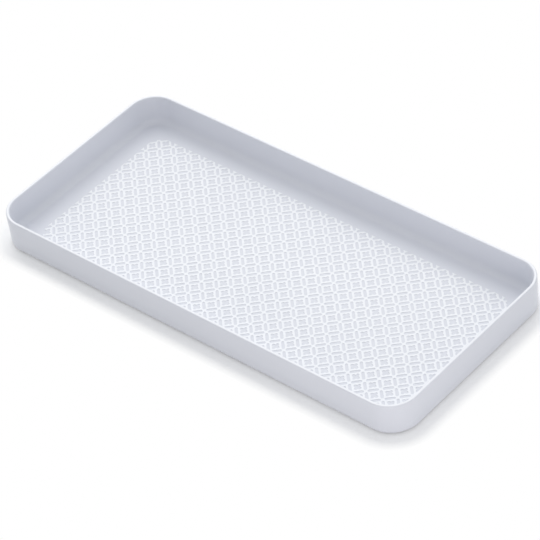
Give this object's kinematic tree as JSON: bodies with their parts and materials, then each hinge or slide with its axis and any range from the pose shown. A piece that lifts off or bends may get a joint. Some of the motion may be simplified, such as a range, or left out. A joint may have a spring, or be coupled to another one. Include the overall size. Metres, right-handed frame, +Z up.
{
  "type": "guest towel tray",
  "caption": "Low rectangular tray with rounded corners, upright walls and a soft non-slip lattice of slots and crossed openings on its floor, standing on rubber feet.",
  "frame": {"origin": "middle of the footprint, on the surface that the feet stand on", "axes": "+X along the tray's length, +Y across it towards the back wall, +Z up out of the open top"},
  "size_m": [0.28, 0.1294, 0.0204],
  "materials": {
    "shell_plastic": "satin",
    "lining_rubber": "satin",
    "foot_rubber": "matte"
  },
  "bodies": {
    "root": {"tray_shell": "shell_plastic", "grip_lining": "lining_rubber", "foot_front_left": "foot_rubber", "foot_front_right": "foot_rubber", "foot_back_left": "foot_rubber", "foot_back_right": "foot_rubber"}
  },
  "joints": []
}
